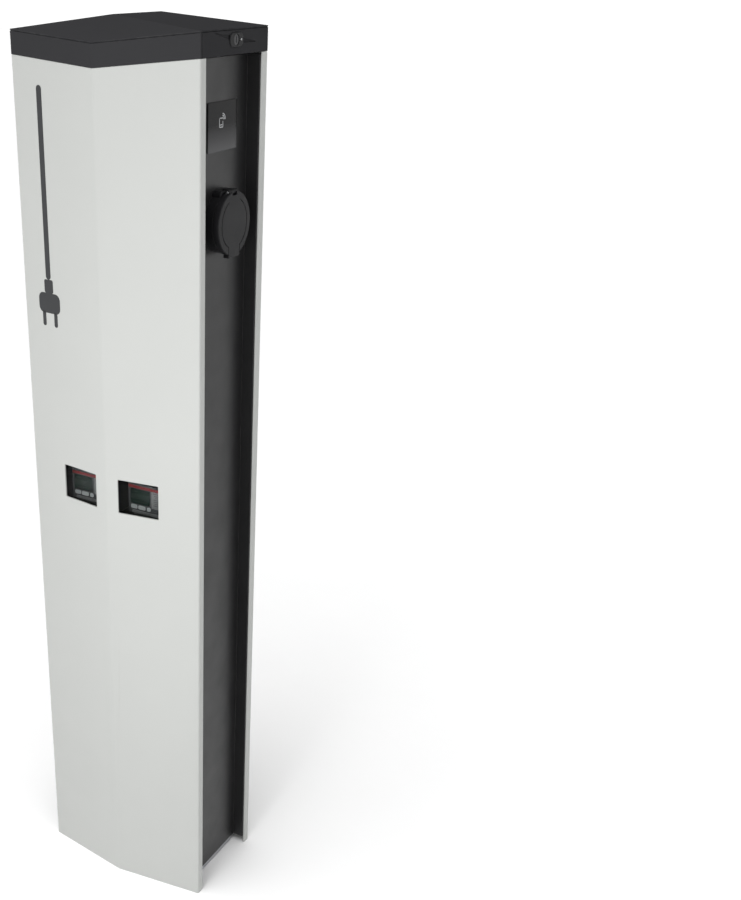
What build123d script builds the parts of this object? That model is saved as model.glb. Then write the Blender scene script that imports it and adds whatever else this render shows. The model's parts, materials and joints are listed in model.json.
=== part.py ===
"""EV charging post: two grey sheet shells on a dark frame, a hipped cap and two side charge points.

Millimetres, +Z up. The origin is the middle of the footprint on the ground, the front faces -Y,
and a piece named "right" stands at +X. Right-hand pieces are modelled and left ones mirrored.
"""
import os
from math import hypot

from build123d import *

os.makedirs("parts", exist_ok=True)

# --- driving dimensions: the housing ---
HEIGHT = 1400.0          # ground to the ridge of the cap
WIDTH = 308.0            # across the two side flanges
SIDE = 175.0             # straight length of each side, corner to corner
BOW = 22.0               # how far the front and rear ridges stand out
SHEET = 2.5              # wall of the grey shells
FLANGE = 14.5            # grey strip beside each dark side panel
ROOF_RISE = 18.0         # eave corner to ridge
EAVE_DROP = 13.4         # eave corner to the lower eave at each front or rear ridge
SKIRT = 32.0             # height of the cap's skirt
CAP_WALL = 3.0
CAP_GAP = 0.5            # between the shells' top edges and the cap
EAVE_LIP, GROOVE_W, GROOVE_DEPTH = 1.4, 1.2, 1.0   # shadow line under the roof's edge
CAP_SEAM = 3.0           # from each front corner back to the seam in the skirt
CORNER_BEND, RIDGE_BEND, EDGE_BEND = 3.0, 22.0, 2.0  # outer bend radii of the shells
GROUND_GAP = 14.0        # under the side panels
RECESS = 22.0            # side panel behind the flanges
PANEL = 2.0              # wall of the side panels
SLIP = 0.3               # gap between neighbouring pieces

# --- meters and their windows ---
WINDOW_W, WINDOW_H = 68.0, 55.0
WINDOW_START = 20.5      # from the ridge, along the face
WINDOW_LOW = 702.0
PANE_LAP, PANE_T, GASKET_T = 4.0, 2.0, 1.0
METER_W, METER_H, METER_NOSE_H = 72.0, 90.0, 49.0
METER_D = 14.0           # how far a meter's nose stands out of its case
METER_X = 54.0
METER_Y = -75.0          # front plane of a meter
METER_MID = 718.0        # height of its middle
KEYS = {"a": (10.5, 11.0), "b": (24.7, 12.5), "c": (37.5, 6.0)}   # distance from the left edge, width
KEY_DROP, KEY_H, KEY_T, KEY_PROUD, KEY_GAP = 14.0, 6.0, 4.0, 1.0, 0.2
DISPLAY_W, DISPLAY_H, DISPLAY_T, DISPLAY_SHIFT, DISPLAY_RISE = 36.0, 25.0, 1.5, 21.5, 3.5
MODULE_W, MODULE_H, MODULE_D, NOSE_D, NOSE_H = 72.0, 85.0, 60.0, 12.0, 44.0
BREAKER_Z = 585.0
LEVER_R, LEVER_W, LEVER_RISE, LEVER_LENGTH = 6.0, 28.0, 6.0, 8.0
LEVER_WELL, LEVER_WALL = 13.0, 1.0
RAIL_W, RAIL_D, RAIL_T, RAIL_SLOT = 35.0, 7.5, 1.0, 25.0

# --- reader and charge point on each side ---
READER_W, READER_H = 76.0, 64.0
READER_Y, READER_Z = 3.0, 1260.0
READER_T, READER_PROUD, READER_LAP, READER_GLASS = 20.0, 1.6, 3.0, 1.0
SOCKET_Z = 1133.0
LID_R, LID_T = 43.5, 8.5
SHELL_R, SHELL_T = 42.0, 13.8
INSERT_R, INSERT_BACK = 33.0, 92.0
CAVITY_R, CAVITY_FLAT, CAVITY_DEPTH = 29.5, 23.5, 42.0
CORE_R, CORE_FLAT, CORE_SUNK = 24.5, 18.5, 8.0
SLEEVE_R, PIN_BORE_R = 3.9, 3.05
CONTACTS = [(0, -1), (-14, -1), (14, -1), (-8, -14), (8, -14), (-7, 10.5), (7, 10.5)]
CONTACT_BACK = 6.0       # insert left behind the contacts
HOOD_W, HOOD_H, HOOD_R = 42.0, 44.5, 5.0         # hinge block at the top of the housing
LID_GAP = 1.4            # between the housing and the closed lid
SEAL_R, SEAL_W, SEAL_T = 39.0, 3.5, 1.1
BAND_R, BAND_HALF, BAND_GROOVE, BAND_DEPTH = 34.0, 15.0, 1.5, 1.1
HINGE_R, HINGE_RISE, HINGE_LENGTH = 2.0, 42.5, 26.0
KNUCKLE_R, KNUCKLE_HALF, KNUCKLE_GAP, EAR_W = 3.4, 5.5, 0.5, 6.0
LOCK_PIN_X, LOCK_PIN_R, LOCK_PIN_LENGTH = 120.0, 2.5, 26.0
ACTUATOR_W, ACTUATOR_H = 28.0, 20.0
RUNNING = 0.05           # radial play of a pin in its hole

# --- cap lock ---
LOCK_DROP = 14.0         # below the eave
LOCK_R, LOCK_DEPTH, BARREL_R = 9.0, 22.0, 7.0
ESCUTCHEON_W, ESCUTCHEON_H, ESCUTCHEON_T = 34.0, 17.0, 1.5
SCOOP_REACH, SCOOP_RISE, SCOOP_DEPTH = 52.0, 10.0, 1.5
NUT_R, NUT_T = 11.5, 4.0
CAM_BACK, CAM_T, CAM_W, CAM_LENGTH, CAM_HUB = 29.0, 3.0, 9.0, 22.0, 6.5
KEEPER_Y, KEEPER_W, KEEPER_T, KEEPER_CLEAR = 16.0, 8.0, 2.0, 1.5

# --- frame ---
PLATE_W, PLATE_D, PLATE_T = 256.0, 156.0, 8.0
ANCHOR_X, ANCHOR_Y, ANCHOR_R = 220.0, 100.0, 7.0
CABLE_W, CABLE_D = 150.0, 60.0
BACKPLATE_W, BACKPLATE_Y, BACKPLATE_T = 176.0, 10.0, 2.0
BACKPLATE_LOW = 200.0
UPRIGHT_X, UPRIGHT_W, UPRIGHT_D = 70.0, 30.0, 8.0
BARS = [("crossbar_lower", 300.0), ("crossbar_upper", 1300.0)]
BAR_H, BAR_T, BAR_TURN = 30.0, 3.0, 22.0
BOLT_R, BOLT_T = 5.8, 4.0

# --- equipment on the plate ---
CONTROLLER_W, CONTROLLER_D, CONTROLLER_LOW, CONTROLLER_H = 140.0, 48.0, 930.0, 120.0
TERMINAL_COUNT, TERMINAL_W, TERMINAL_D, TERMINAL_LOW, TERMINAL_H = 5, 18.0, 45.0, 395.0, 50.0
TERMINAL_GAP, TERMINAL_HOLE, TERMINAL_HOLE_R = 2.0, 11.0, 4.0
CLAMP_Z, CLAMP_W, CLAMP_H = 240.0, 120.0, 20.0
CLAMP_BLOCK_W, CLAMP_BLOCK_H, CLAMP_BLOCK_D, CLAMP_BASE_D, CABLE_R = 70.0, 24.0, 30.0, 14.0, 14.0

# --- derived ---
HALF = WIDTH / 2
CORNER_Y = SIDE / 2
RIDGE_Y = CORNER_Y + BOW
EAVE = HEIGHT - ROOF_RISE
SKIRT_LOW = EAVE - SKIRT
SLOPE = EAVE_DROP / BOW
FLANGE_Y = CORNER_Y - FLANGE
PANEL_X = HALF - RECESS          # outer face of a side panel
LIP_X = HALF - SHEET - SLIP      # outer face of a side panel's lips
MOUTH_X = PANEL_X + SLIP + SHELL_T
LID_BACK = MOUTH_X + LID_GAP
HINGE_X = LID_BACK + KNUCKLE_R
HINGE_Z = SOCKET_Z + HINGE_RISE
LOCK_Z = EAVE - LOCK_DROP
CAM_X = HALF - CAM_BACK
KEY_Z = METER_MID - KEY_DROP
DISPLAY_Z = METER_MID + DISPLAY_RISE
LEVER_Z = BREAKER_Z + LEVER_RISE
RAIL_FACE = BACKPLATE_Y - RAIL_D - SLIP
BAR_Y = BACKPLATE_Y + BACKPLATE_T + UPRIGHT_D
FAR = 400.0                      # longer than any section, for through cuts
RIGHT, LEFT = "right", "left"
OUTLINE = [(-HALF, -CORNER_Y), (0, -RIDGE_Y), (HALF, -CORNER_Y),
           (HALF, CORNER_Y), (0, RIDGE_Y), (-HALF, CORNER_Y)]
FACE_LENGTH = hypot(HALF, BOW)
FRONT_FACE = Plane(origin=(0, -RIDGE_Y, 0), x_dir=(HALF, BOW, 0), z_dir=(BOW, -HALF, 0))


def save(piece, name):
    """Label a finished piece and write it."""
    piece.part.label = name
    export_step(piece.part, f"parts/{name}.step")


def set_side(side):
    """Turn the right-hand piece being built into its left-hand mirror image."""
    if side == LEFT:
        mirror(about=Plane.YZ, mode=Mode.REPLACE)


def side_plane(x):
    """A plane square to X: its own x runs along +Y and its own y runs up."""
    return Plane(origin=(x, 0, 0), x_dir=(0, 1, 0), z_dir=(1, 0, 0))


def front_plane(y):
    """A plane square to Y that looks out of the front: x runs along +X and y runs up."""
    return Plane(origin=(0, y, 0), x_dir=(1, 0, 0), z_dir=(0, -1, 0))


def slab(low, high, mode=Mode.ADD):
    """A plain block between two opposite corners."""
    middle = [(a + b) / 2 for a, b in zip(low, high)]
    with Locations(tuple(middle)):
        Box(*[b - a for a, b in zip(low, high)], mode=mode)


def cut_sloping_ends(top):
    """Trim what stands above the line that falls from each corner to the ridge."""
    for sign in (-1, 1):
        with BuildSketch(side_plane(-FAR)) as wedge:
            with BuildLine():
                Polyline((sign * CORNER_Y, top), (sign * FAR, top - SLOPE * (FAR - CORNER_Y)),
                         (sign * FAR, top + FAR), (sign * CORNER_Y, top + FAR), close=True)
            make_face()
        extrude(wedge.sketch, amount=2 * FAR, mode=Mode.SUBTRACT)


# ------------------------------------------------------------------ housing
def roof_block(inset, floor):
    """The cap's solid outer form, or with an inset its inner one, down to a level floor."""
    ridge_run = CORNER_Y - ROOF_RISE / SLOPE
    top = HEIGHT - inset
    reach = RIDGE_Y + 5.0
    low_top = top - SLOPE * (reach - ridge_run)
    with BuildPart() as block:
        with BuildSketch():
            Polygon(*OUTLINE, align=None)
            if inset:
                offset(amount=-inset, kind=Kind.INTERSECTION, mode=Mode.REPLACE)
        extrude(amount=HEIGHT)
        with BuildSketch(side_plane(-FAR)):
            with BuildLine():
                Polyline((-reach, floor), (reach, floor), (reach, low_top), (ridge_run, top),
                         (-ridge_run, top), (-reach, low_top), close=True)
            make_face()
        extrude(amount=2 * FAR, mode=Mode.INTERSECT)
        with BuildSketch(front_plane(FAR)):
            with BuildLine():
                Polyline((-HALF, floor), (HALF, floor), (HALF, top - ROOF_RISE), (0, top),
                         (-HALF, top - ROOF_RISE), close=True)
            make_face()
        extrude(amount=2 * FAR, mode=Mode.INTERSECT)
    return block.part


def eave_groove():
    """The ring cut just under the roof's edge, following the sloping eaves."""
    block = roof_block(0, SKIRT_LOW - EAVE_DROP)
    with BuildPart() as groove:
        add(block.moved(Location((0, 0, -EAVE_LIP))))
        add(block.moved(Location((0, 0, -EAVE_LIP - GROOVE_W))), mode=Mode.SUBTRACT)
        with BuildSketch():
            Polygon(*OUTLINE, align=None)
            offset(amount=-GROOVE_DEPTH, kind=Kind.INTERSECTION, mode=Mode.REPLACE)
        extrude(amount=HEIGHT, mode=Mode.SUBTRACT)
    return groove.part


def cut_skirt_edge():
    """Trim the cap's lower edge: level along the sides, falling to the front and rear ridges."""
    reach = RIDGE_Y + BOW
    slab((-FAR, -CORNER_Y, 0), (FAR, CORNER_Y, SKIRT_LOW), mode=Mode.SUBTRACT)
    for sign in (-1, 1):
        with BuildSketch(side_plane(-FAR)) as below:
            with BuildLine():
                Polyline((sign * CORNER_Y, SKIRT_LOW),
                         (sign * reach, SKIRT_LOW - SLOPE * (reach - CORNER_Y)),
                         (sign * reach, 0), (sign * CORNER_Y, 0), close=True)
            make_face()
        extrude(below.sketch, amount=2 * FAR, mode=Mode.SUBTRACT)


def cut_lock_seat():
    """The lock's hole in the right skirt and a shallow tapered scoop on each side of it."""
    with BuildSketch(side_plane(HALF - 2 * CAP_WALL)) as hole:
        with Locations((0, LOCK_Z)):
            Circle(LOCK_R + SLIP)
    extrude(hole.sketch, amount=4 * CAP_WALL, mode=Mode.SUBTRACT)
    for sign in (-1, 1):
        tip = LOCK_Z - sign * SCOOP_RISE * (1 if sign < 0 else 0.4)
        with BuildSketch(side_plane(HALF - SCOOP_DEPTH)) as scoop:
            with BuildLine():
                Polyline((0, LOCK_Z - ESCUTCHEON_H / 4), (sign * SCOOP_REACH, tip - 1),
                         (sign * SCOOP_REACH, tip), (0, LOCK_Z + ESCUTCHEON_H / 4), close=True)
            make_face()
        extrude(scoop.sketch, amount=FAR, mode=Mode.SUBTRACT)


def make_cap():
    with BuildPart() as cap:
        add(roof_block(0, SKIRT_LOW - EAVE_DROP))
        fillet(cap.edges().filter_by(Axis.Z), radius=1.5)
        add(roof_block(CAP_WALL, SKIRT_LOW - 2 * EAVE_DROP), mode=Mode.SUBTRACT)
        add(eave_groove(), mode=Mode.SUBTRACT)
        cut_skirt_edge()
        seam_y = CAP_SEAM - CORNER_Y
        for low, high in ((HALF - GROOVE_DEPTH, FAR), (-FAR, GROOVE_DEPTH - HALF)):
            slab((low, seam_y, 0), (high, seam_y + GROOVE_W, HEIGHT), mode=Mode.SUBTRACT)
        cut_lock_seat()
    save(cap, "cap")


def make_shell(name, front):
    """A bowed sheet with a flange down each side; the front one has the meter windows."""
    edge_y = -FLANGE_Y if front else FLANGE_Y
    with BuildPart() as shell:
        with BuildSketch():
            Polygon(*OUTLINE, align=None)
            fillet([v for v in vertices() if abs(v.X) > 1], radius=CORNER_BEND)
            fillet([v for v in vertices() if abs(v.X) < 1], radius=RIDGE_BEND)
            offset(amount=-SHEET, kind=Kind.INTERSECTION, mode=Mode.SUBTRACT)
            with Locations((0, edge_y + (FAR / 2 if front else -FAR / 2))):
                Rectangle(FAR, FAR, mode=Mode.SUBTRACT)
            outer = [v for v in vertices() if abs(v.Y - edge_y) < SLIP and abs(v.X) > HALF - 1]
            fillet(outer, radius=EDGE_BEND)
        extrude(amount=SKIRT_LOW - CAP_GAP)
        cut_sloping_ends(SKIRT_LOW - CAP_GAP)
        if front:
            for side in (RIGHT, LEFT):
                add(window_cutter(side), mode=Mode.SUBTRACT)
    save(shell, name)


def window_block(side, grow, start, end, corner):
    """A block behind a front face: the window opening grown by a margin, from one depth to another."""
    with BuildPart() as block:
        with BuildSketch(FRONT_FACE.offset(-end)):
            with Locations((WINDOW_START + WINDOW_W / 2, WINDOW_LOW + WINDOW_H / 2)):
                RectangleRounded(WINDOW_W + 2 * grow, WINDOW_H + 2 * grow, corner)
        extrude(amount=end - start)
        set_side(side)
    return block.part


def window_cutter(side):
    return window_block(side, 0, -2 * SHEET, 2 * SHEET, 1.5)


def make_window(side):
    gasket_end = SHEET + GASKET_T
    with BuildPart() as gasket:
        add(window_block(side, PANE_LAP, SHEET, gasket_end, 3.0))
        add(window_block(side, 0.5, 0, 2 * gasket_end, 1.5), mode=Mode.SUBTRACT)
    save(gasket, f"window_gasket_{side}")
    with BuildPart() as pane:
        add(window_block(side, PANE_LAP, gasket_end, gasket_end + PANE_T, 3.0))
    save(pane, f"window_pane_{side}")


def make_side_panel(side):
    """A hat section: recessed web, two walls out to the flanges and a lip behind each flange."""
    wall_y = FLANGE_Y - SLIP
    lip_y = CORNER_Y - SHEET - 1.0
    with BuildPart() as panel:
        with BuildSketch(Plane.XY.offset(GROUND_GAP)):
            for sign in (-1, 1):
                with BuildLine():
                    Polyline((PANEL_X - PANEL, 0), (PANEL_X, 0), (PANEL_X, sign * (wall_y - PANEL)),
                             (LIP_X, sign * (wall_y - PANEL)), (LIP_X, sign * lip_y),
                             (LIP_X - PANEL, sign * lip_y), (LIP_X - PANEL, sign * wall_y),
                             (PANEL_X - PANEL, sign * wall_y), close=True)
                make_face()
        extrude(amount=SKIRT_LOW - 3.0 - GROUND_GAP)
        with BuildSketch(side_plane(PANEL_X - 2 * PANEL)):
            with Locations((0, SOCKET_Z)):
                Circle(INSERT_R + SLIP)
            with Locations((READER_Y, READER_Z)):
                Rectangle(READER_W - 2 * READER_LAP, READER_H - 2 * READER_LAP)
        extrude(amount=3 * PANEL, mode=Mode.SUBTRACT)
        set_side(side)
    save(panel, f"side_panel_{side}")


# ------------------------------------------------------------------ reader
def make_reader(side):
    """The card reader: a case behind the panel, a thin bezel in front of it and a glossy window."""
    bezel = READER_PROUD - READER_GLASS
    half_w, half_h = READER_W / 2 - READER_LAP - 1, READER_H / 2 - READER_LAP - 1
    with BuildPart() as body:
        slab((PANEL_X - READER_T, READER_Y - half_w, READER_Z - half_h),
             (PANEL_X, READER_Y + half_w, READER_Z + half_h))
        with BuildSketch(side_plane(PANEL_X)):
            with Locations((READER_Y, READER_Z)):
                RectangleRounded(READER_W, READER_H, 2.0)
        extrude(amount=bezel)
        set_side(side)
    save(body, f"reader_body_{side}")
    with BuildPart() as glass:
        with BuildSketch(side_plane(PANEL_X + bezel)):
            with Locations((READER_Y, READER_Z)):
                RectangleRounded(READER_W, READER_H, 2.0)
        extrude(amount=READER_GLASS)
        set_side(side)
    save(glass, f"reader_glass_{side}")


# ------------------------------------------------------------------ charge point
def flat_round(radius, flat):
    """A circle cut off level above its centre, the keyed outline of the charging plug."""
    with BuildSketch(mode=Mode.PRIVATE) as shape:
        Circle(radius)
        with Locations((0, flat + radius)):
            Rectangle(4 * radius, 2 * radius, mode=Mode.SUBTRACT)
    return shape.sketch


def knuckle(middle, width):
    """One eye of the lid's hinge, round the pin, at a place along Y."""
    with BuildSketch(Plane.XZ.offset(-middle - width / 2)) as eye:
        with Locations((HINGE_X, HINGE_Z)):
            Circle(KNUCKLE_R)
    extrude(eye.sketch, amount=width)


def hinge_bore():
    """The bore for the lid's hinge pin, along Y."""
    with BuildSketch(Plane.XZ.offset(-HINGE_LENGTH)) as bore:
        with Locations((HINGE_X, HINGE_Z)):
            Circle(HINGE_R + RUNNING)
    extrude(bore.sketch, amount=2 * HINGE_LENGTH, mode=Mode.SUBTRACT)


def make_socket_shell(side):
    """The round housing, flat over the hinge, whose middle knuckle reaches into the lid."""
    neck_x = MOUTH_X - SHELL_T / 2
    with BuildPart() as shell:
        with BuildSketch(side_plane(PANEL_X)):
            with Locations((0, SOCKET_Z)):
                Circle(SHELL_R)
            with Locations((0, SOCKET_Z + HOOD_H / 2)):
                RectangleRounded(HOOD_W, HOOD_H, HOOD_R)
            with Locations((0, SOCKET_Z)):
                Circle(INSERT_R + SLIP, mode=Mode.SUBTRACT)
        extrude(amount=SHELL_T + SLIP)
        chamfer(shell.faces().sort_by(Axis.X)[-1].outer_wire().edges(), length=1.0)
        with BuildSketch(Plane.XZ.offset(-KNUCKLE_HALF)):
            with Locations((HINGE_X, HINGE_Z)):
                Circle(KNUCKLE_R)
            with Locations(((HINGE_X + neck_x) / 2, HINGE_Z)):
                Rectangle(HINGE_X - neck_x, 2 * KNUCKLE_R)
        extrude(amount=2 * KNUCKLE_HALF)
        hinge_bore()
        set_side(side)
    save(shell, f"socket_shell_{side}")


def make_insert(side):
    """The plug's seat: a keyed annular cavity round a core with seven contact holes."""
    centre = (0, SOCKET_Z)
    with BuildPart() as insert:
        with BuildSketch(side_plane(INSERT_BACK)):
            with Locations(centre):
                Circle(INSERT_R)
        extrude(amount=MOUTH_X - INSERT_BACK)
        with BuildSketch(side_plane(MOUTH_X - CAVITY_DEPTH)):
            with Locations(centre):
                add(flat_round(CAVITY_R, CAVITY_FLAT))
                add(flat_round(CORE_R, CORE_FLAT), mode=Mode.SUBTRACT)
        extrude(amount=CAVITY_DEPTH, mode=Mode.SUBTRACT)
        with BuildSketch(side_plane(MOUTH_X - CORE_SUNK)):
            with Locations(centre):
                Circle(CORE_R + 1.0)
        extrude(amount=CORE_SUNK, mode=Mode.SUBTRACT)
        with BuildSketch(side_plane(INSERT_BACK + CONTACT_BACK)):
            with Locations(*[(y, SOCKET_Z + z) for y, z in CONTACTS]):
                Circle(SLEEVE_R + RUNNING)
        extrude(amount=FAR, mode=Mode.SUBTRACT)
        with BuildSketch(Plane.XY.offset(SOCKET_Z + CORE_FLAT)):
            with Locations((LOCK_PIN_X, 0)):
                Circle(LOCK_PIN_R + RUNNING)
        extrude(amount=INSERT_R, mode=Mode.SUBTRACT)
        set_side(side)
    save(insert, f"socket_insert_{side}")


def make_contacts(side):
    """Seven contact sleeves, a group of separate solids."""
    with BuildPart() as contacts:
        with BuildSketch(side_plane(INSERT_BACK + CONTACT_BACK)):
            for y, z in CONTACTS:
                with Locations((y, SOCKET_Z + z)):
                    Circle(SLEEVE_R)
                    Circle(PIN_BORE_R, mode=Mode.SUBTRACT)
        extrude(amount=MOUTH_X - CORE_SUNK - 1.0 - INSERT_BACK - CONTACT_BACK)
        set_side(side)
    save(contacts, f"socket_contacts_{side}")


def make_plug_lock(side):
    """The actuator above the insert and the pin it drives down into the plug."""
    base = SOCKET_Z + INSERT_R + 1.0
    with BuildPart() as actuator:
        slab((LOCK_PIN_X - 18, -ACTUATOR_W / 2, base),
             (LOCK_PIN_X + 8, ACTUATOR_W / 2, base + ACTUATOR_H))
        with BuildSketch(Plane.XY.offset(base)):
            with Locations((LOCK_PIN_X, 0)):
                Circle(LOCK_PIN_R + RUNNING)
        extrude(amount=ACTUATOR_H - 3, mode=Mode.SUBTRACT)
        set_side(side)
    save(actuator, f"plug_lock_actuator_{side}")
    with BuildPart() as pin:
        with BuildSketch(Plane.XY.offset(SOCKET_Z + CAVITY_FLAT + 0.5)):
            with Locations((LOCK_PIN_X, 0)):
                Circle(LOCK_PIN_R)
        extrude(amount=LOCK_PIN_LENGTH)
        chamfer(pin.edges().sort_by(Axis.Z)[0], length=0.6)
        set_side(side)
    save(pin, f"plug_lock_pin_{side}")


def cut_band_grooves():
    """Two arcs and two short uprights that set off the raised band down the lid's middle."""
    with BuildSketch(side_plane(LID_BACK + LID_T - BAND_DEPTH)) as grooves:
        with Locations((0, SOCKET_Z)):
            Circle(BAND_R + BAND_GROOVE / 2)
            Circle(BAND_R - BAND_GROOVE / 2, mode=Mode.SUBTRACT)
            Rectangle(2 * BAND_HALF, 4 * BAND_R, mode=Mode.SUBTRACT)
        for sign in (-1, 1):
            with Locations((sign * BAND_HALF, SOCKET_Z - BAND_R - BAND_GROOVE)):
                Rectangle(BAND_GROOVE, 2 * (BAND_R - 2 * BAND_HALF) + 3 * BAND_GROOVE)
    extrude(grooves.sketch, amount=LID_T, mode=Mode.SUBTRACT)


def make_lid(side):
    slot = KNUCKLE_HALF + KNUCKLE_GAP
    with BuildPart() as lid:
        with BuildSketch(side_plane(LID_BACK)):
            with Locations((0, SOCKET_Z)):
                Circle(LID_R)
            with Locations((0, SOCKET_Z - LID_R)):
                RectangleRounded(2 * BAND_HALF, 5.0, 2.0)
        extrude(amount=LID_T)
        front = lid.faces().sort_by(Axis.X)[-1]
        fillet(front.edges(), radius=1.2)
        cut_band_grooves()
        slab((0, -slot, HINGE_Z - KNUCKLE_R - 1), (FAR, slot, HEIGHT), mode=Mode.SUBTRACT)
        for sign in (-1, 1):
            knuckle(sign * (slot + EAR_W / 2), EAR_W)
        hinge_bore()
        set_side(side)
    save(lid, f"socket_lid_{side}")

    with BuildPart() as seal:
        with BuildSketch(side_plane(LID_BACK - SEAL_T)):
            with Locations((0, SOCKET_Z)):
                Circle(SEAL_R)
                Circle(SEAL_R - SEAL_W, mode=Mode.SUBTRACT)
        extrude(amount=SEAL_T)
        set_side(side)
    save(seal, f"lid_seal_{side}")

    with BuildPart() as pin:
        with BuildSketch(Plane.XZ.offset(-HINGE_LENGTH / 2)):
            with Locations((HINGE_X, HINGE_Z)):
                Circle(HINGE_R)
        extrude(amount=HINGE_LENGTH)
        set_side(side)
    save(pin, f"lid_hinge_pin_{side}")


# ------------------------------------------------------------------ cap lock
def make_lock_body():
    """The lock's body through the skirt, under an oval escutcheon, and the nut behind it."""
    with BuildPart() as body:
        with BuildSketch(side_plane(HALF - LOCK_DEPTH)):
            with Locations((0, LOCK_Z)):
                Circle(LOCK_R)
        extrude(amount=LOCK_DEPTH)
        with BuildSketch(side_plane(HALF)):
            with Locations((0, LOCK_Z)):
                RectangleRounded(ESCUTCHEON_W, ESCUTCHEON_H, ESCUTCHEON_H / 2 - 1)
        extrude(amount=ESCUTCHEON_T)
        fillet(body.faces().sort_by(Axis.X)[-1].edges(), radius=0.8)
        with BuildSketch(side_plane(HALF - 2 * LOCK_DEPTH)):
            with Locations((0, LOCK_Z)):
                Circle(BARREL_R + RUNNING)
        extrude(amount=FAR, mode=Mode.SUBTRACT)
    save(body, "lock_housing")
    with BuildPart() as nut:
        with BuildSketch(side_plane(HALF - CAP_WALL - NUT_T)):
            with Locations((0, LOCK_Z)):
                RegularPolygon(NUT_R, 6)
                Circle(LOCK_R + SLIP, mode=Mode.SUBTRACT)
        extrude(amount=NUT_T)
    save(nut, "lock_nut")


def make_lock_barrel():
    """The turning barrel with its key slot, and the cam on its inner end."""
    with BuildPart() as barrel:
        with BuildSketch(side_plane(CAM_X + CAM_T)):
            with Locations((0, LOCK_Z)):
                Circle(BARREL_R)
        extrude(amount=HALF + ESCUTCHEON_T / 2 - CAM_X - CAM_T)
        with BuildSketch(side_plane(HALF - 8)):
            with Locations((0, LOCK_Z)):
                Rectangle(1.8, 8.0)
        extrude(amount=20.0, mode=Mode.SUBTRACT)
        chamfer(barrel.faces().sort_by(Axis.X)[-1].edges().filter_by(GeomType.CIRCLE), length=0.4)
    save(barrel, "lock_barrel")
    with BuildPart() as cam:
        with BuildSketch(side_plane(CAM_X)):
            with Locations((0, LOCK_Z)):
                Circle(CAM_HUB)
            with Locations((0, LOCK_Z - CAM_LENGTH / 2)):
                RectangleRounded(CAM_W, CAM_LENGTH, 3.0)
        extrude(amount=CAM_T)
    save(cam, "lock_cam")


def make_keeper():
    """The bracket on the right side panel whose top tab the cam turns under."""
    tab_low = LOCK_Z + CAM_W / 2 + KEEPER_CLEAR
    foot = SKIRT_LOW - 20
    back = CAM_X - 8
    near, far = KEEPER_Y - KEEPER_W / 2, KEEPER_Y + KEEPER_W / 2
    with BuildPart() as keeper:
        slab((back, near, foot), (back + KEEPER_T, far, tab_low))
        slab((back, near, tab_low), (CAM_X + CAM_T, far, tab_low + KEEPER_T))
        slab((back, near, foot - KEEPER_T), (PANEL_X - PANEL, far, foot))
    save(keeper, "cap_keeper")


# ------------------------------------------------------------------ frame
def make_base():
    """The base plate with its anchor holes and the slot that the supply cable comes up through."""
    with BuildPart() as base:
        with BuildSketch():
            RectangleRounded(PLATE_W, PLATE_D, 6.0)
            with GridLocations(ANCHOR_X, ANCHOR_Y, 2, 2):
                Circle(ANCHOR_R, mode=Mode.SUBTRACT)
            SlotOverall(CABLE_W, CABLE_D, mode=Mode.SUBTRACT)
        extrude(amount=PLATE_T)
    save(base, "base_plate")


def make_uprights():
    """The flat bars that stand on the base plate, and the equipment plate in front of them."""
    low_y = BACKPLATE_Y + BACKPLATE_T
    with BuildPart() as backplate:
        slab((-BACKPLATE_W / 2, BACKPLATE_Y, BACKPLATE_LOW), (BACKPLATE_W / 2, low_y, SKIRT_LOW - 50))
    save(backplate, "equipment_plate")
    for side in (RIGHT, LEFT):
        with BuildPart() as upright:
            slab((UPRIGHT_X - UPRIGHT_W / 2, low_y, PLATE_T),
                 (UPRIGHT_X + UPRIGHT_W / 2, BAR_Y, SKIRT_LOW - 8))
            set_side(side)
        save(upright, f"upright_{side}")


def make_crossbars():
    """Bars behind the uprights, turned back at each end to carry the side panels."""
    end = PANEL_X - PANEL - SLIP
    for name, level in BARS:
        with BuildPart() as bar:
            slab((-end, BAR_Y, level), (end, BAR_Y + BAR_T, level + BAR_H))
            for inner, outer in ((-end, BAR_T - end), (end - BAR_T, end)):
                slab((inner, BAR_Y + BAR_T, level), (outer, BAR_Y + BAR_TURN, level + BAR_H))
        save(bar, name)
    with BuildPart() as bolts:
        for _, level in BARS:
            for x in (-UPRIGHT_X - 10, UPRIGHT_X + 10, 10 - UPRIGHT_X, UPRIGHT_X - 10):
                with BuildSketch(Plane.XZ.offset(-BAR_Y - BAR_T)):
                    with Locations((x, level + BAR_H / 2)):
                        RegularPolygon(BOLT_R, 6)
                extrude(amount=-BOLT_T)
    save(bolts, "frame_bolts")


def make_rail(name, level):
    """A top-hat rail on the equipment plate."""
    back, front = BACKPLATE_Y, BACKPLATE_Y - RAIL_D
    half, slot = RAIL_W / 2, RAIL_SLOT / 2
    with BuildPart() as rail:
        with BuildSketch(side_plane(2 - BACKPLATE_W / 2)):
            with BuildLine():
                Polyline((back, level - slot), (back, level + slot), (front + RAIL_T, level + slot),
                         (front + RAIL_T, level + half), (front, level + half),
                         (front, level + slot - RAIL_T), (back - RAIL_T, level + slot - RAIL_T),
                         (back - RAIL_T, level + RAIL_T - slot), (front, level + RAIL_T - slot),
                         (front, level - half), (front + RAIL_T, level - half),
                         (front + RAIL_T, level - slot), close=True)
            make_face()
        extrude(amount=BACKPLATE_W - 4)
    save(rail, name)


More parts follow.
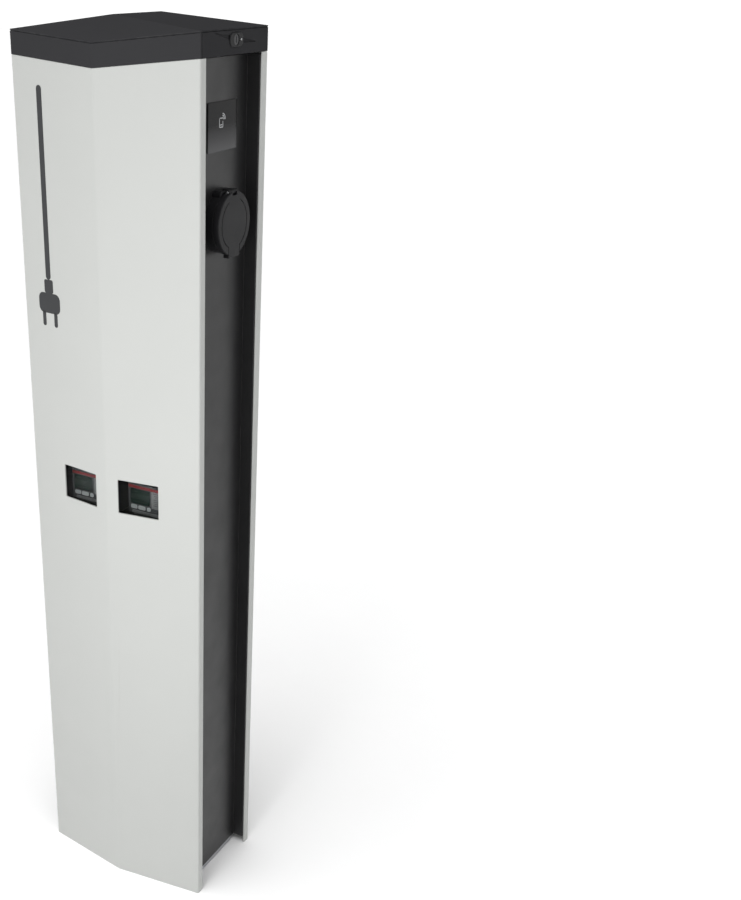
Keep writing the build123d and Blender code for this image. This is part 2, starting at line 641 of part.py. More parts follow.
# ------------------------------------------------------------------ electrical equipment
def make_meter(side):
    """A rail-mounted energy meter with a stepped face, a display and three keys.

    Both meters are the same product, so the left one is moved across and not mirrored.
    """
    middle = METER_X if side == RIGHT else -METER_X
    low, high = middle - METER_W / 2, middle + METER_W / 2
    face = front_plane(METER_Y)
    with BuildPart() as case:
        slab((low, METER_Y + METER_D, METER_MID - METER_H / 2), (high, RAIL_FACE, METER_MID + METER_H / 2))
        slab((low, METER_Y, METER_MID - METER_NOSE_H / 2),
             (high, METER_Y + METER_D, METER_MID + METER_NOSE_H / 2))
        with BuildSketch(face):
            with Locations((low + DISPLAY_SHIFT, DISPLAY_Z)):
                Rectangle(DISPLAY_W, DISPLAY_H)
        extrude(amount=-DISPLAY_T, mode=Mode.SUBTRACT)
        for shift, width in KEYS.values():
            with BuildSketch(face):
                with Locations((low + shift, KEY_Z)):
                    RectangleRounded(width + 2 * KEY_GAP, KEY_H + 2 * KEY_GAP, 2.0)
            extrude(amount=-KEY_T - 1, mode=Mode.SUBTRACT)
    save(case, f"meter_case_{side}")
    with BuildPart() as display:
        with BuildSketch(face):
            with Locations((low + DISPLAY_SHIFT, DISPLAY_Z)):
                Rectangle(DISPLAY_W - KEY_GAP, DISPLAY_H - KEY_GAP)
        extrude(amount=-DISPLAY_T)
    save(display, f"meter_display_{side}")
    for key, (shift, width) in KEYS.items():
        with BuildPart() as button:
            with BuildSketch(front_plane(METER_Y - KEY_PROUD)):
                with Locations((low + shift, KEY_Z)):
                    RectangleRounded(width, KEY_H, 1.8)
            extrude(amount=-KEY_T)
        save(button, f"meter_key_{key}_{side}")


def make_breaker(side):
    """A residual-current breaker and the lever that switches it."""
    body_y = RAIL_FACE - MODULE_D
    nose = body_y - NOSE_D
    pivot = nose + LEVER_WELL / 2
    low, high = METER_X - MODULE_W / 2, METER_X + MODULE_W / 2
    lever_low, lever_high = METER_X - LEVER_W / 2, METER_X + LEVER_W / 2
    with BuildPart() as case:
        slab((low, body_y, BREAKER_Z - MODULE_H / 2), (high, RAIL_FACE, BREAKER_Z + MODULE_H / 2))
        slab((low, nose, BREAKER_Z - NOSE_H / 2), (high, body_y, BREAKER_Z + NOSE_H / 2))
        slab((lever_low - LEVER_WALL, nose, LEVER_Z - LEVER_WELL),
             (lever_high + LEVER_WALL, nose + LEVER_WELL, LEVER_Z + LEVER_WELL), mode=Mode.SUBTRACT)
        set_side(side)
    save(case, f"breaker_{side}")
    with BuildPart() as lever:
        with BuildSketch(side_plane(lever_low)):
            with Locations((pivot, LEVER_Z)):
                Circle(LEVER_R)
        extrude(amount=LEVER_W)
        slab((lever_low, nose - LEVER_LENGTH, LEVER_Z + 1), (lever_high, pivot, LEVER_Z + 5))
        set_side(side)
    save(lever, f"breaker_lever_{side}")


def make_controller():
    with BuildPart() as controller:
        slab((-CONTROLLER_W / 2, BACKPLATE_Y - CONTROLLER_D, CONTROLLER_LOW),
             (CONTROLLER_W / 2, BACKPLATE_Y, CONTROLLER_LOW + CONTROLLER_H))
        fillet(controller.edges().filter_by(Axis.Y), radius=3.0)
    save(controller, "charge_controller")


def make_terminals():
    """A row of terminal blocks, one for each supply conductor, with a screw hole at each end."""
    front = BACKPLATE_Y - TERMINAL_D
    middle = TERMINAL_LOW + TERMINAL_H / 2 - 5
    with BuildPart() as terminals:
        for place in range(TERMINAL_COUNT):
            x = (place - (TERMINAL_COUNT - 1) / 2) * (TERMINAL_W + TERMINAL_GAP)
            slab((x - TERMINAL_W / 2, front, TERMINAL_LOW),
                 (x + TERMINAL_W / 2, BACKPLATE_Y, TERMINAL_LOW + TERMINAL_H))
            with BuildSketch(front_plane(front)):
                with Locations((x, middle + TERMINAL_HOLE), (x, middle - TERMINAL_HOLE)):
                    Circle(TERMINAL_HOLE_R)
            extrude(amount=-6.0, mode=Mode.SUBTRACT)
    save(terminals, "supply_terminals")


def make_clamp():
    """The clamp that takes the weight of the supply cable."""
    base_y = BACKPLATE_Y - CLAMP_BASE_D
    with BuildPart() as clamp:
        slab((-CLAMP_W / 2, base_y, CLAMP_Z - CLAMP_H / 2), (CLAMP_W / 2, BACKPLATE_Y, CLAMP_Z + CLAMP_H / 2))
        slab((-CLAMP_BLOCK_W / 2, base_y - CLAMP_BLOCK_D, CLAMP_Z - CLAMP_BLOCK_H / 2),
             (CLAMP_BLOCK_W / 2, base_y, CLAMP_Z + CLAMP_BLOCK_H / 2))
        with BuildSketch(Plane.XY):
            with Locations((0, base_y - CLAMP_BLOCK_D / 2 + 3)):
                Circle(CABLE_R)
        extrude(amount=FAR, mode=Mode.SUBTRACT)
    save(clamp, "cable_clamp")


make_cap()
make_shell("front_shell", True)
make_shell("rear_shell", False)
make_base()
make_uprights()
make_crossbars()
make_lock_body()
make_lock_barrel()
make_keeper()
make_rail("meter_rail", METER_MID)
make_rail("breaker_rail", BREAKER_Z)
make_controller()
make_terminals()
make_clamp()
for hand in (RIGHT, LEFT):
    make_side_panel(hand)
    make_window(hand)
    make_reader(hand)
    make_socket_shell(hand)
    make_insert(hand)
    make_contacts(hand)
    make_lid(hand)
    make_plug_lock(hand)
    make_meter(hand)
    make_breaker(hand)
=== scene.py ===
"""Looks for the EV charging post: materials, printed marks, floor, light and camera around the CAD frame."""
import json
import math

import bmesh
import bpy
from mathutils import Matrix, Vector


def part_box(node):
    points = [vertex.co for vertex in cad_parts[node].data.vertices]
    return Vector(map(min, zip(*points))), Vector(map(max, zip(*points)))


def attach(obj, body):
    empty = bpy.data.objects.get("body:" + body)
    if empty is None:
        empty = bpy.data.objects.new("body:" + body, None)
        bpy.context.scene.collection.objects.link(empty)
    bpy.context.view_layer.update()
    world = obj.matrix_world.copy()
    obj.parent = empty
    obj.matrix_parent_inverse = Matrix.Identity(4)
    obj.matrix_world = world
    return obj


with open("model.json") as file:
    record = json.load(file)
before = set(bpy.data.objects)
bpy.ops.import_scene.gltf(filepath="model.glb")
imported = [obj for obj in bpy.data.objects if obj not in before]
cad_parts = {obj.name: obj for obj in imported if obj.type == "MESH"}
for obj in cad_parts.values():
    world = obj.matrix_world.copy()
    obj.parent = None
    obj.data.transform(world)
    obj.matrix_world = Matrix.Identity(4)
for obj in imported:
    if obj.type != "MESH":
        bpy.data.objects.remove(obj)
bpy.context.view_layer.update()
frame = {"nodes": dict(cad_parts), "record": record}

# --- units and sides ---
MM = 0.001
SIDES = {"right": 1, "left": -1}
RIGHTWARD = (1, 0, 0)
UPWARD = (0, 0, 1)
PROUD = 0.06                    # thickness of a thin label, mm

# --- colours, linear ---
GREY = (0.432, 0.441, 0.427, 1)
BLACK_SHEET = (0.013, 0.013, 0.0135, 1)
BLACK_PLASTIC = (0.011, 0.011, 0.012, 1)
CAP_PLASTIC = (0.035, 0.035, 0.037, 1)
STEEL = (0.46, 0.47, 0.49, 1)
TURNED_METAL = (0.55, 0.56, 0.57, 1)
DARK_METAL = (0.05, 0.05, 0.052, 1)
PLATING = (0.62, 0.58, 0.5, 1)
DEVICE_CASE = (0.055, 0.056, 0.058, 1)
KEY_CAPS = (0.50, 0.52, 0.52, 1)
DISPLAY = (0.006, 0.016, 0.012, 1)
RUBBER = (0.012, 0.012, 0.012, 1)
PANE_TINT = (0.90, 0.92, 0.92, 1)
INK = (0.018, 0.019, 0.021, 1)
ICON = (0.42, 0.43, 0.44, 1)
RED = (0.23, 0.013, 0.017, 1)
FASCIA_GREY = (0.20, 0.20, 0.20, 1)
SEGMENT_GREEN = (0.035, 0.055, 0.045, 1)
FLOOR_WHITE = (0.93, 0.93, 0.93, 1)
# painted reflection on the reader's window: grey at its foot, black at its head
PAINTED_REFLECTION_LOW = (0.085, 0.085, 0.088, 1)
FADE_HIGH = (0.005, 0.005, 0.0055, 1)

# --- how a surface varies ---
NOISE_DETAIL = 3.0
BEVEL_SAMPLES = 4
EDGE_DOTS = (0.995, 0.80)       # a rounded normal this far from the true one starts, and fully is, an edge
MOTTLE_SCALE, MOTTLE_DETAIL, MOTTLE_BAND = 7.0, 4.0, (0.3, 0.7)
GRAIN_DETAIL = 2.0
SPECKLE, SPECKLE_BAND = 0.35, (0.35, 0.75)
SCUFF_SCALE, SCUFF_BAND = 90.0, (0.4, 0.65)
WORN_TOWARDS, WORN_SHARE = 0.9, 0.12
GLOSS_SCALE, GLOSS_BAND = 23.0, (0.3, 0.7)
GLOSS_DOWN, GLOSS_UP = 0.05, 0.06
BUMP_STRENGTH = 0.6

# --- the panes and the reader's window ---
PANE_ROUGHNESS, PANE_IOR = 0.02, 1.14
DUST_SCALE, DUST_DETAIL, DUST_BAND, DUST_ROUGHNESS = 60.0, 5.0, (0.45, 0.8), 0.08
HAZE_SCALE, HAZE = 30.0, 0.93
PAINTED_REFLECTION_SHARE = 0.55               # of the window's height, from its foot, over which the painted reflection fades from grey to black
READER_LOW, READER_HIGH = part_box("reader_glass_right")

# --- outlines of arcs ---
ARC_STEPS, CORNER_STEPS = 14, 5

# --- reader icon, mm: across, up, width, height of each stroke of the card ---
CARD_STROKES = ((-2, 4.0, 10, 1.3), (-2, -7.5, 10, 1.3), (-6.5, -1.75, 1.3, 12), (2.5, -3.75, 1.3, 8))
CARD_STROKE_RADIUS = 0.6
CARD_STRIPE = (-2, -4.6, 6.0, 1.2, 0.5)
WAVE_AT, WAVE_RADII, WAVE_WIDTH, WAVE_END = (1.0, 2.0), (2.6, 5.2, 7.8), 1.3, 85
ICON_HEIGHT = 0.60              # of the window's height, from its foot
ICON_FORWARD = 2 * MM
ICON_PROUD = 0.08

# --- sign on the left front face; bars are across, up, width, height, corner radius in mm ---
LEAD_BAR = (0, 186, 10.0, 268, 4.8)
GRIP_BAR = (0, 42, 18, 20, 3.0)
PLUG_BAR = (0, 17, 44, 30, 9.0)
PIN_ACROSS, PIN_BAR = 12, (-7, 7.0, 22, 3.2)
SIGN_PROUD = 0.2
BOW = 22.0 * MM
MARK_FROM_CORNER = 52.0 * MM
MARK_Z = 0.992

# --- meter marks, mm ---
BAND_UP, BAND_SHORTER, BAND_HEIGHT, BAND_RADIUS, BAND_PROUD = 3.4, 1.0, 4.4, 0.6, 0.15
DIGITS, FIRST_DIGIT, DIGIT_PITCH, DIGIT_SIZE = 6, -13.5, 5.4, 7.5
DIGIT_WIDTH, DIGIT_STROKE, STROKE_RADIUS, STROKE_GAP = 0.5, 0.1, 0.45, 1.4
UNDERLINE = (0, -8.0, 26, 0.7, 0.3)
CAPTION = (-9, 8.0, 9, 1.2, 0.5)
DIGITS_PROUD = 0.05
COLUMN_BESIDE = 12 * MM
RATING_LINES, RATING_PITCH, RATING_LONG, RATING_STEP = 7, 3.2, 11.0, 2.5
RATING_HEIGHT, RATING_RADIUS, RATING_DOWN = 0.9, 0.4, 2 * MM
FASCIA_BAR = (0, -13, 18, 28, 1.0)
LEDGE_UNDER_KEYS = 7.5 * MM
LEDGE_ACROSS, LEDGE_UP, LEDGE_SHORTER, LEDGE_HEIGHT, LEDGE_RADIUS = 3, 2.6, 8, 4.6, 0.8
LEDGE_PROUD = 0.6

# --- rivet on the lock's plate, mm: radius and height of each ring ---
RIVET_PROFILE = ((1.3, 0.0), (1.3, 0.8), (1.05, 0.9), (0.85, 1.1), (0.5, 1.3), (0.2, 1.35))
RIVET_STEPS = 24
RIVET_SUNK, RIVET_FROM_END = 0.6 * MM, 5.0 * MM

# --- floor, light and camera ---
FLOOR_SIZE = 60
WHITE = (1, 1, 1, 1)
SKY, HORIZON = 0.50, 1.12
HORIZON_TOP, SKY_FROM = 0.08, 0.30
SUN, SUN_FROM, SUN_ANGLE = 0.60, (0.0, -0.30, 0.95), 50
STRIP_AT, STRIP_POWER = (0.17, -0.75, 0.90), 3.7
STRIP_WIDTH, STRIP_HEIGHT, STRIP_AIM = 0.25, 1.3, (0.09, 0)
CAMERA_AT = (0.9912, -1.4518, 1.4453)
CAMERA_YAW, CAMERA_PITCH, CAMERA_ROLL = -34.175, 25.470, 0.975     # degrees
CAMERA_LENS = 47.42
CAMERA_SHIFT = (0.2450, 0.1000)


# ------------------------------------------------------------------ materials
def add(tree, kind, **inputs):
    """A shader node with its unlinked inputs set by name."""
    node = tree.nodes.new(kind)
    for name, value in inputs.items():
        node.inputs[name.replace("_", " ")].default_value = value
    return node


def blend_colours(tree, factor, low, high):
    """A mix of two colours driven by a node output."""
    mix = tree.nodes.new("ShaderNodeMix")
    mix.data_type = "RGBA"
    for socket, value in ((mix.inputs[6], low), (mix.inputs[7], high)):
        if hasattr(value, "links"):
            tree.links.new(value, socket)
        else:
            socket.default_value = value
    tree.links.new(factor, mix.inputs[0])
    return mix.outputs[2]


def remap(tree, source, low_in, high_in, low_out, high_out):
    """A clamped linear change of range."""
    node = add(tree, "ShaderNodeMapRange", From_Min=low_in, From_Max=high_in, To_Min=low_out, To_Max=high_out)
    tree.links.new(source, node.inputs["Value"])
    return node.outputs["Result"]


def noise(tree, scale, detail=NOISE_DETAIL, stretch=(1, 1, 1)):
    """Noise in the object's own metres, stretched along chosen axes."""
    where = tree.nodes.new("ShaderNodeTexCoord")
    mapping = add(tree, "ShaderNodeMapping", Scale=stretch)
    texture = add(tree, "ShaderNodeTexNoise", Scale=scale, Detail=detail)
    tree.links.new(where.outputs["Object"], mapping.inputs["Vector"])
    tree.links.new(mapping.outputs["Vector"], texture.inputs["Vector"])
    return texture.outputs["Fac"]


def edge_mask(tree, radius):
    """Near 1 on sharp outer edges, where a rounded normal leaves the true one, and that rounded normal."""
    rounded = add(tree, "ShaderNodeBevel", Radius=radius)
    rounded.samples = BEVEL_SAMPLES
    true_normal = tree.nodes.new("ShaderNodeNewGeometry")
    dot = tree.nodes.new("ShaderNodeVectorMath")
    dot.operation = "DOT_PRODUCT"
    tree.links.new(rounded.outputs["Normal"], dot.inputs[0])
    tree.links.new(true_normal.outputs["Normal"], dot.inputs[1])
    return remap(tree, dot.outputs["Value"], *EDGE_DOTS, 0.0, 1.0), rounded.outputs["Normal"]


def shader_of(name):
    """A new material, its node tree and its main shader."""
    material = bpy.data.materials.new(name)
    material.use_nodes = True
    return material, material.node_tree, material.node_tree.nodes["Principled BSDF"]


def surface(name, colour, roughness, metallic=0.0, grain=900.0, grain_depth=0.05, stretch=(1, 1, 1),
            mottle=0.05, wear=0.25, edge=0.8, specular=0.5):
    """A coated, moulded or metal surface: fine grain bump, slow mottling, softened and worn edges."""
    material, tree, shader = shader_of(name)
    shader.inputs["Metallic"].default_value = metallic
    shader.inputs["Specular IOR Level"].default_value = specular
    slow = noise(tree, MOTTLE_SCALE, MOTTLE_DETAIL)
    fine = noise(tree, grain, GRAIN_DETAIL, stretch)
    mask, rounded = edge_mask(tree, edge * MM)
    darker = tuple(c * (1 - mottle) for c in colour[:3]) + (1,)
    lighter = tuple(min(1, c * (1 + mottle)) for c in colour[:3]) + (1,)
    worn = tuple(min(1, c + (WORN_TOWARDS - c) * WORN_SHARE) for c in colour[:3]) + (1,)
    body = blend_colours(tree, remap(tree, slow, *MOTTLE_BAND, 0, 1), darker, lighter)
    speckled = blend_colours(tree, remap(tree, fine, *SPECKLE_BAND, 0, SPECKLE), body, lighter)
    scuffed = tree.nodes.new("ShaderNodeMath")
    scuffed.operation = "MULTIPLY"
    tree.links.new(mask, scuffed.inputs[0])
    tree.links.new(remap(tree, noise(tree, SCUFF_SCALE), *SCUFF_BAND, 0, wear), scuffed.inputs[1])
    tree.links.new(blend_colours(tree, scuffed.outputs[0], speckled, worn), shader.inputs["Base Color"])
    gloss = remap(tree, noise(tree, GLOSS_SCALE), *GLOSS_BAND, roughness - GLOSS_DOWN, roughness + GLOSS_UP)
    tree.links.new(gloss, shader.inputs["Roughness"])
    bump = add(tree, "ShaderNodeBump", Strength=BUMP_STRENGTH, Distance=grain_depth * MM)
    tree.links.new(fine, bump.inputs["Height"])
    tree.links.new(rounded, bump.inputs["Normal"])
    tree.links.new(bump.outputs["Normal"], shader.inputs["Normal"])
    return material


def glass(name, tint, roughness):
    """Clear sheet with faint dust."""
    material, tree, shader = shader_of(name)
    shader.inputs["Transmission Weight"].default_value = 1.0
    shader.inputs["IOR"].default_value = PANE_IOR
    specks = noise(tree, DUST_SCALE, DUST_DETAIL)
    dust = remap(tree, specks, *DUST_BAND, roughness, roughness + DUST_ROUGHNESS)
    tree.links.new(dust, shader.inputs["Roughness"])
    hazy = tuple(c * HAZE for c in tint[:3]) + (1,)
    tree.links.new(blend_colours(tree, noise(tree, HAZE_SCALE), tint, hazy), shader.inputs["Base Color"])
    return material


def painted_reflection_glass(name, bottom, top):
    """The reader's window: a painted reflection that runs from grey at its foot to black at its head."""
    material = surface(name, FADE_HIGH, 0.10, grain=40, grain_depth=0.01, wear=0.1, specular=0.12)
    tree = material.node_tree
    shader = tree.nodes["Principled BSDF"]
    where = tree.nodes.new("ShaderNodeTexCoord")
    parts = tree.nodes.new("ShaderNodeSeparateXYZ")
    tree.links.new(where.outputs["Object"], parts.inputs["Vector"])
    # painted reflection: grey at the window's foot, reaching black part way up
    height = remap(tree, parts.outputs["Z"], bottom, bottom + PAINTED_REFLECTION_SHARE * (top - bottom), 0.0, 1.0)
    tree.links.new(blend_colours(tree, height, PAINTED_REFLECTION_LOW, FADE_HIGH), shader.inputs["Base Color"])
    return material


def print_ink(name, colour, roughness, grain_depth=0.02, **looks):
    """A thin printed layer, with no worn edges of its own."""
    return surface(name, colour, roughness, grain_depth=grain_depth, wear=0.0, **looks)


MATERIALS = {
    "grey_sheet": surface("grey_powder_coat", GREY, 0.46, grain=520, grain_depth=0.07, mottle=0.012,
                          wear=0.2),
    "black_sheet": surface("black_powder_coat", BLACK_SHEET, 0.36, grain=1400, grain_depth=0.03, wear=0.4,
                           specular=0.38),
    "black_plastic": surface("black_moulding", BLACK_PLASTIC, 0.38, grain=1800, grain_depth=0.03, wear=0.4,
                             specular=0.12),
    "cap_plastic": surface("cap_moulding", CAP_PLASTIC, 0.55, grain=1500, grain_depth=0.04, wear=0.3,
                           edge=1.2, specular=0.0),
    "galvanised_steel": surface("galvanised_steel", STEEL, 0.38, 0.95, grain=300, grain_depth=0.02,
                                stretch=(1, 1, 0.2), mottle=0.12),
    "bright_metal": surface("turned_metal", TURNED_METAL, 0.26, 1.0, grain=1200, grain_depth=0.01),
    "dark_metal": surface("blackened_metal", DARK_METAL, 0.3, 0.9, grain=1200, grain_depth=0.01),
    "contact_metal": surface("plated_contacts", PLATING, 0.25, 1.0, grain=900, grain_depth=0.01),
    "device_plastic": surface("device_case", DEVICE_CASE, 0.45, grain=1600, grain_depth=0.03),
    "key_plastic": surface("key_caps", KEY_CAPS, 0.38, grain=1500, grain_depth=0.02, edge=0.5),
    "display_glass": surface("display", DISPLAY, 0.15, grain=500, grain_depth=0.004, specular=0.2),
    # the reader's window carries a painted reflection in its colour
    "reader_gloss": painted_reflection_glass("reader_painted_reflection", READER_LOW.z, READER_HIGH.z),
    "rubber": surface("seal_rubber", RUBBER, 0.7, grain=1000, grain_depth=0.06, wear=0.1),
    "clear_pane": glass("clear_pane", PANE_TINT, PANE_ROUGHNESS),
}
OWN_FINISH = {"cap": "cap_plastic", "equipment_plate": "black_sheet", "lock_barrel": "dark_metal"}
INK_PRINT = print_ink("printed_ink", INK, 0.5, grain=1500, edge=0.1)
ICON_PRINT = print_ink("icon_print", ICON, 0.5, grain=1500, edge=0.1)
RED_PRINT = print_ink("meter_label_red", RED, 0.4, grain=1500)
FASCIA = surface("meter_fascia", FASCIA_GREY, 0.45, grain=1600, grain_depth=0.02)
SEGMENTS = print_ink("display_segments", SEGMENT_GREEN, 0.3, 0.01, grain=900)


def dress_cad_nodes():
    """Every CAD node takes the material of its record slot, or its own finish."""
    slots = {entry["node"]: entry["material_slot"] for entry in frame["record"]["subparts"]}
    for name, node in frame["nodes"].items():
        choice = OWN_FINISH.get(name, slots[name])
        node.data.materials.clear()
        node.data.materials.append(MATERIALS[choice])


# ------------------------------------------------------------------ printed marks
def arc(cx, cy, radius, start, stop, steps=ARC_STEPS):
    """Points along an arc, angles in degrees."""
    angles = [math.radians(start + (stop - start) * i / steps) for i in range(steps + 1)]
    return [(cx + radius * math.cos(a), cy + radius * math.sin(a)) for a in angles]


def arc_band(cx, cy, radius, width, start, stop):
    """The closed outline of a curved stroke."""
    outer = arc(cx, cy, radius + width / 2, start, stop)
    inner = arc(cx, cy, radius - width / 2, stop, start)
    return outer + inner


def round_bar(cx, cy, width, height, radius):
    """The closed outline of a rectangle with round corners."""
    x, y = width / 2 - radius, height / 2 - radius
    corners = ((x, y, 0), (-x, y, 90), (-x, -y, 180), (x, -y, 270))
    points = []
    for px, py, turn in corners:
        points += arc(cx + px, cy + py, radius, turn, turn + 90, CORNER_STEPS)
    return points


def printed(name, outlines, origin, across, thickness, material):
    """Flat upright shapes a little proud of a plane; outlines are in millimetres, across and up it."""
    across, up = Vector(across).normalized(), Vector(UPWARD)
    out = across.cross(up)
    shape = bmesh.new()
    for outline in outlines:
        flat = [Vector(origin) + across * u * MM + up * v * MM for u, v in outline]
        low = [shape.verts.new(p) for p in flat]
        high = [shape.verts.new(p + out * thickness * MM) for p in flat]
        shape.faces.new(high)
        shape.faces.new(list(reversed(low)))
        for i in range(len(flat)):
            j = (i + 1) % len(flat)
            shape.faces.new((low[i], low[j], high[j], high[i]))
    bmesh.ops.recalc_face_normals(shape, faces=shape.faces)
    mesh = bpy.data.meshes.new(name)
    shape.to_mesh(mesh)
    shape.free()
    piece = bpy.data.objects.new(name, mesh)
    bpy.context.scene.collection.objects.link(piece)
    mesh.materials.append(material)
    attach(piece, "post")


def card_icon():
    """A card held to a reader: an upright card with a stripe, and waves spreading from its upper corner."""
    strokes = [round_bar(*stroke, CARD_STROKE_RADIUS) for stroke in CARD_STROKES]
    strokes.append(round_bar(*CARD_STRIPE))
    for radius in WAVE_RADII:
        strokes.append(arc_band(*WAVE_AT, radius, WAVE_WIDTH, 0, WAVE_END))
    return strokes


def add_reader_marks():
    """The card icon on each reader's window."""
    for side, sign in SIDES.items():
        low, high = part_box(f"reader_glass_{side}")
        face_x = high.x if sign > 0 else low.x
        middle_y = (low.y + high.y) / 2 - sign * ICON_FORWARD
        spot = (face_x, middle_y, low.z + ICON_HEIGHT * (high.z - low.z))
        printed(f"reader_icon_{side}", card_icon(), spot, (0, sign, 0), ICON_PROUD, ICON_PRINT)


def plug_mark():
    """A hanging lead with a grip, a round-cornered plug and its two pins."""
    strokes = [round_bar(*bar) for bar in (LEAD_BAR, GRIP_BAR, PLUG_BAR)]
    for across in (-PIN_ACROSS, PIN_ACROSS):
        strokes.append(round_bar(across, *PIN_BAR))
    return strokes


def add_front_mark():
    """The sign on the left front face follows that face's own slope."""
    corner_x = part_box("front_shell")[0].x
    front_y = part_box("cap")[0].y
    ridge = Vector((0, front_y, 0))
    corner = Vector((corner_x, front_y + BOW, 0))
    across = (ridge - corner).normalized()
    spot = corner + across * MARK_FROM_CORNER + Vector((0, 0, MARK_Z))
    printed("front_plug_sign", plug_mark(), spot, across, SIGN_PROUD, INK_PRINT)


def digit(cx, cy, size):
    """The seven bars of a display digit, all drawn, so it reads as no figure in particular."""
    w, h, t = size * DIGIT_WIDTH, size, size * DIGIT_STROKE
    radius = t * STROKE_RADIUS
    bars = [round_bar(cx, cy + k * h / 2, w - t, t, radius) for k in (-1, 0, 1)]
    for x in (-w / 2, w / 2):
        for k in (-1, 1):
            bars.append(round_bar(cx + x, cy + k * h / 4, t, h / 2 - t * STROKE_GAP, radius))
    return bars


def rating_line(i):
    """One of the short lines of small print, in three lengths by turns."""
    return round_bar(0, -RATING_PITCH * i, RATING_LONG - RATING_STEP * (i % 3), RATING_HEIGHT, RATING_RADIUS)


def add_meter_marks():
    """On each meter: a red band, display digits, a fascia with rating lines beside them and a ledge below."""
    for side in SIDES:
        case_low, case_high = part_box(f"meter_case_{side}")
        low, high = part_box(f"meter_display_{side}")
        face_y, top = case_low.y, high.z
        case_middle = (case_low.x + case_high.x) / 2
        width = (case_high.x - case_low.x) / MM
        band = [round_bar(0, BAND_UP, width - BAND_SHORTER, BAND_HEIGHT, BAND_RADIUS)]
        printed(f"meter_band_{side}", band, (case_middle, face_y, top), RIGHTWARD, BAND_PROUD, RED_PRINT)
        digits = []
        for i in range(DIGITS):
            digits += digit(FIRST_DIGIT + DIGIT_PITCH * i, 0, DIGIT_SIZE)
        digits += [round_bar(*UNDERLINE), round_bar(*CAPTION)]
        display_middle = ((low.x + high.x) / 2, low.y, (low.z + high.z) / 2)
        printed(f"meter_digits_{side}", digits, display_middle, RIGHTWARD, DIGITS_PROUD, SEGMENTS)
        column = high.x + COLUMN_BESIDE
        printed(f"meter_fascia_{side}", [round_bar(*FASCIA_BAR)], (column, face_y, top), RIGHTWARD, PROUD,
                FASCIA)
        ratings_at = (column, face_y - PROUD * MM, top - RATING_DOWN)
        printed(f"meter_ratings_{side}", [rating_line(i) for i in range(RATING_LINES)], ratings_at, RIGHTWARD,
                PROUD, INK_PRINT)
        ledge = [round_bar(LEDGE_ACROSS, LEDGE_UP, width - LEDGE_SHORTER, LEDGE_HEIGHT, LEDGE_RADIUS)]
        ledge_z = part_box(f"meter_key_a_{side}")[0].z - LEDGE_UNDER_KEYS
        printed(f"meter_ledge_{side}", ledge, (case_middle, face_y, ledge_z), RIGHTWARD, LEDGE_PROUD, FASCIA)


def add_lock_rivet():
    """The bright rivet at the end of the lock's plate: a thin collar under a domed head."""
    low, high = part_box("lock_housing")
    seat = Vector((high.x - RIVET_SUNK, high.y - RIVET_FROM_END, (low.z + high.z) / 2))
    points, faces = [], []
    for radius, height in RIVET_PROFILE:
        for k in range(RIVET_STEPS):
            turn = 2 * math.pi * k / RIVET_STEPS
            points.append(seat + Vector((height, radius * math.cos(turn), radius * math.sin(turn))) * MM)
    for ring in range(len(RIVET_PROFILE) - 1):
        for k in range(RIVET_STEPS):
            start = ring * RIVET_STEPS + k
            after = ring * RIVET_STEPS + (k + 1) % RIVET_STEPS
            faces.append((start, after, after + RIVET_STEPS, start + RIVET_STEPS))
    faces.append(tuple(reversed(range(RIVET_STEPS))))
    faces.append(tuple(range(len(points) - RIVET_STEPS, len(points))))
    mesh = bpy.data.meshes.new("lock_rivet")
    mesh.from_pydata(points, [], faces)
    rivet = bpy.data.objects.new("lock_rivet", mesh)
    bpy.context.scene.collection.objects.link(rivet)
    mesh.materials.append(MATERIALS["bright_metal"])
    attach(rivet, "cap")


# ------------------------------------------------------------------ floor, light, camera
def add_floor():
    """A wide pale plane under the post."""
    bpy.ops.mesh.primitive_plane_add(size=FLOOR_SIZE, location=(0, 0, 0))
    floor = bpy.context.object
    floor.name = "floor"
    floor.data.materials.append(surface("pale_floor", FLOOR_WHITE, 0.9, grain=60, grain_depth=0.01,
                                        mottle=0.004, wear=0, specular=0.0))


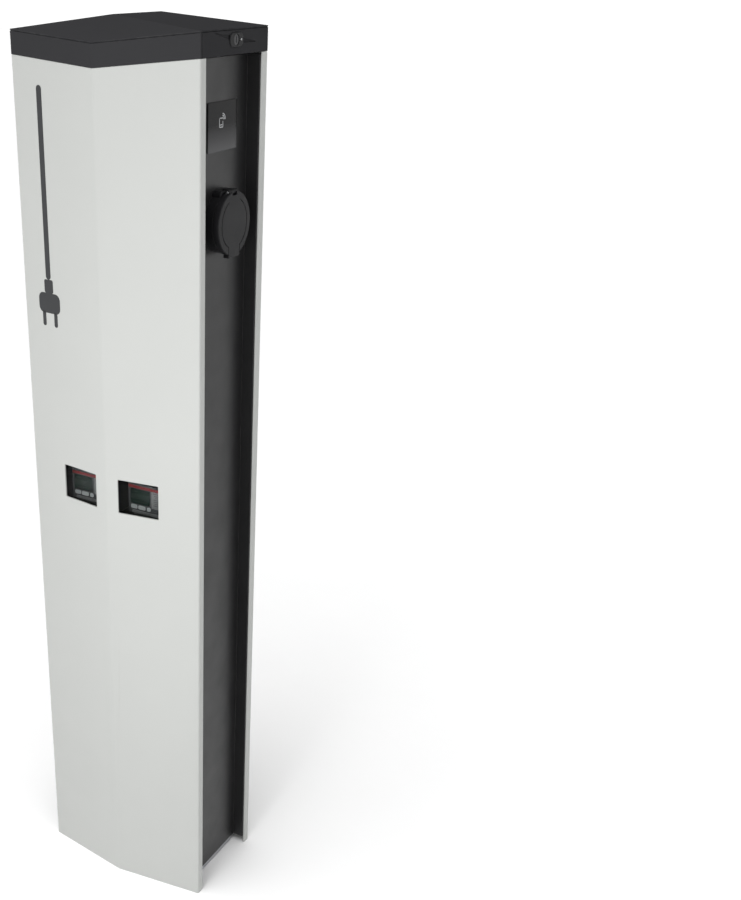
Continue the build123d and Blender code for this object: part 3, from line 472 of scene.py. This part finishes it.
def add_surround():
    """A white surround, brightest at the horizon."""
    world = bpy.data.worlds.new("studio")
    world.use_nodes = True
    tree = world.node_tree
    sky = tree.nodes["Background"]
    sky.inputs["Color"].default_value = WHITE
    direction = tree.nodes.new("ShaderNodeTexCoord")
    parts = tree.nodes.new("ShaderNodeSeparateXYZ")
    tree.links.new(direction.outputs["Generated"], parts.inputs["Vector"])
    strength = remap(tree, parts.outputs["Z"], HORIZON_TOP, SKY_FROM, HORIZON, SKY)
    tree.links.new(strength, sky.inputs["Strength"])
    bpy.context.scene.world = world


def add_lights():
    """A broad soft light from above the front, and an upright strip before the right front face."""
    sun = bpy.data.lights.new("overhead", "SUN")
    sun.energy = math.pi * SUN
    sun.angle = math.radians(SUN_ANGLE)
    overhead = bpy.data.objects.new("overhead", sun)
    overhead.rotation_euler = Vector(SUN_FROM).to_track_quat("Z", "Y").to_euler()
    bpy.context.scene.collection.objects.link(overhead)
    strip = bpy.data.lights.new("strip", "AREA")
    strip.shape = "RECTANGLE"
    strip.size, strip.size_y = STRIP_WIDTH, STRIP_HEIGHT
    strip.energy = STRIP_POWER
    bar = bpy.data.objects.new("strip", strip)
    bar.location = STRIP_AT
    aim = Vector((*STRIP_AIM, STRIP_AT[2])) - Vector(STRIP_AT)
    bar.rotation_euler = aim.to_track_quat("-Z", "Y").to_euler()
    bar.visible_camera = False
    bpy.context.scene.collection.objects.link(bar)
    bpy.context.scene.view_settings.view_transform = "Standard"


def add_camera():
    """The camera, turned by yaw, then pitch, then roll."""
    yaw, pitch, roll = map(math.radians, (CAMERA_YAW, CAMERA_PITCH, CAMERA_ROLL))
    level = Vector((math.sin(yaw), math.cos(yaw), 0))
    side = Vector((math.cos(yaw), -math.sin(yaw), 0))
    up = Vector(UPWARD)
    ahead = level * math.cos(pitch) - up * math.sin(pitch)
    down = -(up * math.cos(pitch) + level * math.sin(pitch))
    right = side * math.cos(roll) + down * math.sin(roll)
    below = down * math.cos(roll) - side * math.sin(roll)
    data = bpy.data.cameras.new("camera")
    data.lens = CAMERA_LENS
    data.shift_x, data.shift_y = CAMERA_SHIFT
    camera = bpy.data.objects.new("camera", data)
    turn = Matrix((right, -below, -ahead)).transposed().to_4x4()
    camera.matrix_world = Matrix.Translation(CAMERA_AT) @ turn
    bpy.context.scene.collection.objects.link(camera)
    bpy.context.scene.camera = camera


dress_cad_nodes()
add_reader_marks()
add_front_mark()
add_meter_marks()
add_lock_rivet()
add_floor()
add_surround()
add_lights()
add_camera()
